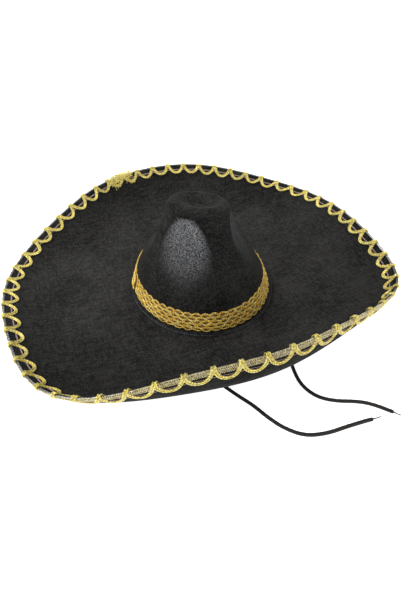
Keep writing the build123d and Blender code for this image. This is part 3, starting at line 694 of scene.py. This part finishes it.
def make_brim():
    a = np.linspace(0, FULL_TURN, 640, endpoint=False)
    brim = Brim(a)
    steps = 1 - (1 - np.linspace(0, 1, 64))**1.35
    rows = [ellipse(OPENING_HALF_LENGTH, OPENING_HALF_WIDTH, BRIM_TOP, a)]
    rows += [brim.point(np.full_like(a, t), 0.0) for t in steps]
    # the felt's edge is rounded over the wire's side
    rows += [brim.near_edge(np.zeros_like(a), -BRIM_FELT * share) for share in (0.1, 0.5, 0.9)]
    rows += [brim.point(np.full_like(a, t), -BRIM_FELT) for t in steps[::-1]]
    rows.append(ellipse(OPENING_HALF_LENGTH, OPENING_HALF_WIDTH, BRIM_UNDER, a))
    points = np.stack(rows)
    piece = Piece()
    piece.grid(points, close_rows=True)
    return place(piece.make("brim_pressed_felt", [BLACK_FELT]), ["brim_felt"])


DENT_HIGHLIGHT = (1.0, 0.22, 0.3, 0.15)     # how strongly a highlight is painted into the felt of each dent


def crown_painted_highlight(a, u):
    """How strongly a highlight is painted into the felt: inside the dents, most of all along their upper lip, standing
    in for the sheen of the lamps there.
    """
    height = bezier(CROWN_WALL, np.clip(u, 0, 1))[1] * CROWN_HEIGHT
    paint = np.zeros(np.broadcast(a, u).shape)
    for centre, amount in zip(DENT_ANGLES, DENT_HIGHLIGHT):
        aside = ((a - radians(centre) + pi) % FULL_TURN - pi) / radians(DENT_HALF_ANGLE * 0.92)
        upward = (height - DENT_CENTRE * CROWN_HEIGHT) / (DENT_HALF_HEIGHT * 0.92)
        reach = np.hypot(aside, upward)
        inside = np.clip((1.0 - reach) / (0.4 - 0.2 * np.clip(upward, -1, 1)), 0, 1)
        lip = np.clip((reach - 0.6) / 0.3, 0, 1) * (upward > 0)
        paint = np.maximum(paint, amount * inside * (0.42 + 0.34 * np.clip(upward, -1, 1) + 0.22 * lip))
    return np.where(u <= 1.0, paint, 0)


def make_crown():
    a = np.linspace(0, FULL_TURN, 560, endpoint=False)
    flange_length, flange_width = CROWN_HALF_LENGTH + CROWN_FLANGE, CROWN_HALF_WIDTH + CROWN_FLANGE
    us = np.concatenate([np.linspace(0, 1, 84), np.linspace(1, 2, 22)[1:]])
    flange = [ellipse(flange_length, flange_width, CROWN_ROOT - 0.15, a),
              ellipse(flange_length - 0.15, flange_width - 0.15, CROWN_ROOT, a)]
    flange += [ellipse(CROWN_HALF_LENGTH + f, CROWN_HALF_WIDTH + f, CROWN_ROOT, a) for f in (3.5, 1.6)]
    rows = flange + [crown_point(a, np.full_like(a, u)) for u in us]
    paints = [np.zeros_like(a)] * len(flange) + [crown_painted_highlight(a, np.full_like(a, u)) for u in us]
    piece = Piece()
    piece.grid(np.stack(rows), paint=np.stack(paints))
    piece.fan(rows[-1], rows[-1].mean(0))
    # the inside of the crown and the underside of its flange
    inner = [ellipse(flange_length - 0.15, flange_width - 0.15, CROWN_FOOT, a),
             ellipse(CROWN_HALF_LENGTH - CROWN_FELT, CROWN_HALF_WIDTH - CROWN_FELT, CROWN_FOOT, a)]
    inner += [crown_point(a, np.full_like(a, u), -CROWN_FELT) for u in us[4::2]]
    piece.grid(np.stack(inner), flip=True)
    piece.fan(inner[-1], inner[-1].mean(0), flip=True)
    # the flange's cut edge is coloured a paler grey than the felt
    piece.grid(np.stack([ellipse(flange_length - 0.15, flange_width - 0.15, CROWN_FOOT, a),
                         ellipse(flange_length, flange_width, CROWN_FOOT + 0.3, a),
                         ellipse(flange_length, flange_width, CROWN_ROOT - 0.15, a),
                         ellipse(flange_length - 0.15, flange_width - 0.15, CROWN_ROOT, a)]), slot=1)
    return place(piece.make("crown_pressed_felt", [BLACK_FELT, CUT_EDGE]), ["crown_felt"])


def make_sweatband():
    a = np.linspace(0, FULL_TURN, 420, endpoint=False)
    turned_length, turned_width = HEAD_HALF_LENGTH + SWEATBAND_FLANGE, HEAD_HALF_WIDTH + SWEATBAND_FLANGE
    share = wall_share(SWEATBAND_TOP - CROWN_ROOT)
    clear = CROWN_FELT + SWEATBAND_GAP
    top_out = crown_point(a, np.full_like(a, share), -clear)
    top_in = crown_point(a, np.full_like(a, share), -clear - SWEATBAND_THICK)
    foot_in = ellipse(HEAD_HALF_LENGTH, HEAD_HALF_WIDTH, 0.0, a)
    foot_out = ellipse(HEAD_HALF_LENGTH + SWEATBAND_THICK, HEAD_HALF_WIDTH + SWEATBAND_THICK, SWEATBAND_THICK, a)
    rows = [ellipse(turned_length, turned_width, SWEATBAND_THICK - 0.3, a),
            ellipse(turned_length, turned_width, 0.3, a),
            ellipse(turned_length - 0.4, turned_width - 0.4, 0.0, a),
            ellipse((turned_length + HEAD_HALF_LENGTH) / 2, (turned_width + HEAD_HALF_WIDTH) / 2, 0.0, a),
            ellipse(HEAD_HALF_LENGTH + 1.2, HEAD_HALF_WIDTH + 1.2, 0.0, a),
            ellipse(HEAD_HALF_LENGTH + 0.35, HEAD_HALF_WIDTH + 0.35, 0.3, a),
            foot_in + (top_in - foot_in) * 0.04]
    rows += [foot_in + (top_in - foot_in) * s for s in np.linspace(0.08, 0.97, 14)]
    rows += [top_in * 0.75 + top_out * 0.25 + np.array((0, 0, 0.1)),
             top_in * 0.25 + top_out * 0.75 + np.array((0, 0, 0.1))]
    rows += [foot_out + (top_out - foot_out) * s for s in np.linspace(0.97, 0.0, 6)]
    rows += [ellipse(turned_length - 0.4, turned_width - 0.4, SWEATBAND_THICK, a)]
    piece = Piece()
    around = np.arange(len(rows)) * 2.0
    piece.grid(np.stack(rows), close_rows=True, along=around, around=a * 92.0, flip=True)
    # a row of stitches near the turned edge and another near the top of the band
    count = 190
    for index in range(count):
        for kind in ("flange", "top"):
            turn = FULL_TURN * (index + np.linspace(0.12, 0.72, 6)) / count
            arch = np.linspace(-1, 1, 6)**2
            if kind == "flange":
                path = ellipse(turned_length - 3, turned_width - 3, 0.0, turn)
                path[:, 2] += 0.08 + 0.2 * arch
                piece.tube(path, 0.16, sides=5, slot=1)
            else:
                path = crown_point(turn, np.full_like(turn, share), -clear - SWEATBAND_THICK)
                low = ellipse(HEAD_HALF_LENGTH, HEAD_HALF_WIDTH, 0.0, turn)
                path = path + (low - path) * 0.12
                inwards = unit(path * np.array((1, 1, 0)))
                piece.tube(path - inwards * (0.12 - 0.2 * arch)[:, None], 0.16, up=-inwards, sides=5, slot=1)
    return place(piece.make("sweatband_tape", [SWEATBAND_TAPE, BLACK_THREAD]), ["sweatband"])


make_brim()
make_crown()
make_sweatband()

wire_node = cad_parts["brim_edge_wire"]
wire_node.data.materials.clear()
wire_node.data.materials.append(WIRE)


# ---- the brim's edge: stitching and braid ------------------------------------------------------------------

def surface_up(fraction, across, lift):
    """The outward direction of the felt's surface under a trim."""
    return unit(wrap(fraction, across, lift + 0.5) - wrap(fraction, across, lift))


def whip_stitching():
    """Small black stitches over the edge and its wire, a little uneven."""
    rng = np.random.default_rng(3)
    count = 430
    piece = Piece()
    across = np.concatenate([np.linspace(-6.6, -3.8, 3), np.linspace(-3.4, 3.4, 7), np.linspace(3.8, 6.6, 3)])
    for index in range(count):
        lean = rng.uniform(0.25, 0.5) / count
        reach = rng.uniform(0.9, 1.08)
        fraction = (index + rng.uniform(-0.15, 0.15)) / count + lean * across / 6.6
        lift = np.full_like(across, 0.45)
        lift[[0, -1]] = -0.1
        up = surface_up(fraction, across * reach, lift)
        piece.tube(wrap(fraction, across * reach, lift), 0.26, up=up, sides=5, caps=False)
    return place(piece.make("edge_whip_stitches", [BLACK_THREAD]), ["edge_whip_stitching"])


def scalloped_cord(piece, first, seed, begin, end, lift_more=0.0, wander=0.5, samples=56):
    """One cord of three strands. It makes a scallop on one face, crosses the edge, and makes the next
    scallop on the other face; first is 1 if it starts on the top face."""
    rng = np.random.default_rng(seed)
    tau = np.linspace(begin, end, int((end - begin) * samples) + 1)
    knots = np.arange(int(begin) - 2, int(end) + 4)
    depth = np.interp(tau, knots + 0.5, 1 + wander * 0.06 * rng.standard_normal(len(knots)))
    drift = np.interp(tau, knots + 0.5, wander * 0.03 * rng.standard_normal(len(knots)))
    slack = np.interp(tau, knots + 0.5, 1 + 0.15 * wander * rng.standard_normal(len(knots)))
    deepest = SCALLOP_REACH + WIRE_CENTRE + WRAP - 2.1
    wave = np.sin(pi * tau)
    across = first * deepest * depth * np.sign(wave) * np.abs(wave)**0.82
    across = np.where(across < 0, 0.9 * across, across)     # shallower on the outer face
    along = tau + drift - 0.05 * slack * np.sin(2 * pi * tau)
    # which cord is on top changes from crossing to crossing
    crossing = np.round(tau)
    near = np.exp(-(across / 6.0)**2)
    over = ((crossing + (first > 0)) % 2 == 0)
    lift = 0.75 + lift_more + near * np.where(over, 1.15, 0.35)
    flat = np.stack([along * PITCH, across], -1)
    heading = unit(np.gradient(flat, axis=0))
    sideways = np.stack([-heading[:, 1], heading[:, 0]], -1)
    for offset, radius, raised in ((-1.35, 0.78, 0.0), (0.0, 0.5, -0.25), (1.35, 0.78, 0.0)):
        wobble = np.interp(tau, knots, 0.12 * wander * rng.standard_normal(len(knots)))
        path = flat + sideways * (offset * (1 + 0.1 * np.cos(2 * pi * tau)) + wobble)[:, None]
        fraction = (path[:, 0] / PITCH + SCALLOP_PHASE) / SCALLOPS
        strand_lift = lift + raised
        points = wrap(fraction, path[:, 1], strand_lift)
        up = surface_up(fraction, path[:, 1], strand_lift)
        piece.tube(points, radius, up=up, sides=6, start=rng.uniform(0, 9))


# where the braid's ends meet, counted in scallops
SEAM = RIM_LENGTHS[int(round(SEAM_ANGLE * 4))] / EDGE_LENGTH * SCALLOPS - SCALLOP_PHASE


def braid_cords():
    for name, first, seed, nodes in (("rim_braid_cord_one", 1, 21, ["rim_braid_inner_scallops", "rim_braid_edge_cord"]),
                                     ("rim_braid_cord_two", -1, 22, ["rim_braid_outer_scallops"])):
        piece = Piece()
        scalloped_cord(piece, first, seed, SEAM - SCALLOPS, SEAM)
        place(piece.make(name, [PALE_GOLD]), nodes)


def running_threads(piece, inward, side, radius, lift, wave=0.12, slot=0, seed=1):
    rng = np.random.default_rng(seed)
    s = np.linspace(0, 1, 1500, endpoint=False)
    across = np.full_like(s, across_for(inward, side))
    for k in (57, 114, 171):
        across = across + wave * rng.uniform(0.3, 1) * np.sin(FULL_TURN * (k * s + rng.uniform()))
    lift = np.full_like(s, lift)
    piece.tube(wrap(s, across, lift), radius, up=surface_up(s, across, lift), sides=5, closed=True, slot=slot)


def chain_row(piece, inward, half, period, side, radius, lift):
    """Two fine strands that plait along a row, each passing over and under the other."""
    count = int(EDGE_LENGTH / period)
    samples = 9
    s = np.arange(count * samples) / (count * samples)
    phase = FULL_TURN * count * s
    for sign in (1, -1):
        across = across_for(inward, side) + sign * half * np.sin(phase)
        height = lift + sign * 0.22 * np.sin(2 * phase + pi / 2)
        piece.tube(wrap(s, across, height), radius, up=surface_up(s, across, height), sides=5, closed=True)


def fine_rows():
    piece = Piece()
    for number, inward in enumerate((7.2, 8.0)):
        running_threads(piece, inward, 1, 0.24, 0.5, seed=31 + number)
    place(piece.make("rim_braid_warp_threads", [PALE_THREAD]), ["rim_braid_inner_threads"])

    piece = Piece()
    chain_row(piece, -1.7, 1.5, 4.2, -1, 0.33, 0.95)
    running_threads(piece, -3.5, -1, 0.24, 0.8, wave=0.08, seed=42)
    place(piece.make("rim_braid_chain_upper", [CHAIN_GOLD]), ["rim_braid_outer_chain_1"])

    piece = Piece()
    chain_row(piece, 2.4, 1.4, 4.2, -1, 0.33, 0.75)
    running_threads(piece, 0.35, -1, 0.24, 0.8, wave=0.08, seed=44)
    running_threads(piece, 7.6, -1, 0.24, 0.5, wave=0.15, slot=1, seed=45)
    lower = piece.make("rim_braid_chain_lower", [CHAIN_GOLD, PALE_THREAD])
    place(lower, ["rim_braid_outer_chain_2"])


def braid_seam():
    """The braid's end, bunched over its start, with loose threads that hang inwards."""
    rng = np.random.default_rng(7)
    piece = Piece()
    for first, seed in ((1, 61), (-1, 62)):
        scalloped_cord(piece, first, seed, SEAM - 1.0, SEAM + 0.7, lift_more=1.3, wander=1.6)
    for _ in range(64):     # short lengths of cord that run along the bunch
        middle = (SEAM + rng.uniform(-0.85, 0.55) + SCALLOP_PHASE) / SCALLOPS
        steps = np.linspace(-1, 1, 14)
        fraction = middle + (rng.uniform(3, 9) * steps + 0.8 * np.sin(pi * steps * rng.uniform(0.7, 1.6))) / EDGE_LENGTH
        across = rng.uniform(-1, 12) + steps * rng.uniform(-1.5, 4)
        lift = 2.2 + rng.uniform(0, 1.6) * (1 - steps**2)
        piece.tube(wrap(fraction, across, lift), 0.62, up=surface_up(fraction, across, lift), sides=5)
    for index in range(9):   # frayed ends that hang inwards, in two tufts
        start = rng.uniform(-0.95, -0.45) if index % 2 else rng.uniform(0.2, 0.65)
        s = (SEAM + start + SCALLOP_PHASE) / SCALLOPS
        steps = np.linspace(0, 1, 16)
        fraction = s + (rng.uniform(-5, 5) * steps + rng.uniform(-1.5, 1.5) * np.sin(pi * steps * 1.7)) / EDGE_LENGTH
        across = 12 + rng.uniform(-2, 2) + steps * rng.uniform(4, 12)
        lift = 1.8 + rng.uniform(0.3, 2.5) * np.sin(pi * steps * 0.8)
        piece.tube(wrap(fraction, across, lift), 0.34, up=surface_up(fraction, across, lift), sides=5)
    place(piece.make("rim_braid_bunched_end", [PALE_GOLD]), ["rim_braid_overlap"])


whip_stitching()
braid_cords()
fine_rows()
braid_seam()


# ---- hat band ----------------------------------------------------------------------------------------------------

BAND_LOOPS = 50     # loops in one row round the crown


def on_wall(a, height, outside):
    return crown_point(a, wall_share(height), outside)


def band_strand(piece, a, height, outside, radius, closed, start=0.0, sides=6, slot=0):
    points = on_wall(a, height, outside)
    up = unit(on_wall(a, height, outside + 0.5) - points)
    piece.tube(points, radius, up=up, sides=sides, closed=closed, start=start, slot=slot)


def band_row(row):
    """One row: two looping cords that cross each other and make a chain of oval rings."""
    rng = np.random.default_rng(80 + row)
    piece = Piece()
    middle = BAND_BOTTOM + (row + 0.5) * BAND_ROW_HEIGHT
    count = BAND_LOOPS * 22
    turn = np.arange(count) / count
    a = FULL_TURN * turn
    loop = pi * (BAND_LOOPS * turn + 0.5 * (row % 2))
    size = 1.85 + 0.15 * np.interp(turn, np.linspace(0, 1, 90), rng.standard_normal(90), period=1)
    jitter = 0.22 * np.interp(turn, np.linspace(0, 1, 120), rng.standard_normal(120), period=1)
    for sign in (1, -1):
        wave = sign * size * np.sign(np.cos(loop)) * np.abs(np.cos(loop))**0.6
        for ply in (-0.5, 0.5):
            height = middle + wave * (1 + 0.15 * ply) + ply * 0.7 + jitter
            outside = 1.3 + sign * 0.5 * np.sin(loop) + 0.2 * abs(ply)
            band_strand(piece, a, height, outside, 0.46, True, start=rng.uniform(0, 5))
    zigzag = FULL_TURN * BAND_LOOPS * 1.5 * turn
    band_strand(piece, a, middle + 0.8 * np.sin(zigzag) + jitter, 0.8 + 0.2 * np.cos(zigzag), 0.26, True, sides=5)
    # the dull ribbon behind the loops
    low, high = middle - 1.6, middle + 1.6
    corners = ((low, 0.35), (high, 0.35), (high, 0.7), (low, 0.7))
    ribbon = np.stack([on_wall(a[::3], np.full_like(a[::3], h), o) for h, o in corners])
    piece.grid(ribbon, close_rows=True, along=np.arange(4) * 2.3, around=a[::3] * 92.0, slot=1)
    cord = piece.make(f"hat_band_row_{row + 1}", [DEEP_GOLD, GOLD_BACKING])
    place(cord, [f"hat_band_cord_{row + 1}"])


def band_end():
    """The end of the band, which stands proud of the rows under it."""
    rng = np.random.default_rng(95)
    piece = Piece()
    centre, half = radians(BAND_OVERLAP_ANGLE), radians(4.0)
    t = np.linspace(-1, 1, 60)
    for row in range(BAND_ROWS):
        middle = BAND_BOTTOM + (row + 0.5) * BAND_ROW_HEIGHT
        for sign in (1, -1):
            for ply in (-0.5, 0.5):
                phase = t * 3.4 + row * 1.3
                height = middle + sign * 1.2 * np.cos(phase) + ply * 0.7
                a = centre + half * t
                outside = 3.6 + 0.4 * sign * np.sin(phase) + 0.5 * np.clip(-t, 0, 1)
                band_strand(piece, a, height, outside, 0.46, False, start=rng.uniform(0, 5))
    ends = np.linspace(0.6, BAND_ROWS * BAND_ROW_HEIGHT - 0.6, 40)
    for edge in (-1, 1):    # the ends of the rows are oversewn
        a = np.full(40, centre + half * edge) + 0.004 * np.sin(np.arange(40) * 1.9)
        band_strand(piece, a, BAND_BOTTOM + ends, 3.9 + 0.2 * np.cos(np.arange(40) * 1.9), 0.5, False)
    for _ in range(10):     # frayed metal threads
        t2 = np.linspace(0, 1, 10)
        height = rng.uniform(BAND_BOTTOM + 2, BAND_BOTTOM + 15) + t2 * rng.uniform(-2, 2)
        a = centre - half * (1 + t2 * rng.uniform(0.2, 0.9))
        band_strand(piece, a, height, 3.8 + rng.uniform(-0.5, 1.2) * t2, 0.13, False, sides=4)
    low, high = BAND_BOTTOM + 0.6, BAND_BOTTOM + BAND_ROWS * BAND_ROW_HEIGHT - 0.6
    a = centre + half * np.linspace(-1, 1, 12)
    corners = ((low, 2.9), (high, 2.9), (high, 3.2), (low, 3.2))
    ribbon = np.stack([on_wall(a, np.full_like(a, h), o) for h, o in corners])
    piece.grid(ribbon, close_rows=True, close_columns=False, along=np.arange(4) * 8.0, around=a * 92.0, slot=1)
    place(piece.make("hat_band_end", [DEEP_GOLD, GOLD_BACKING]), ["hat_band_overlap"])


for row in range(BAND_ROWS):
    band_row(row)
band_end()
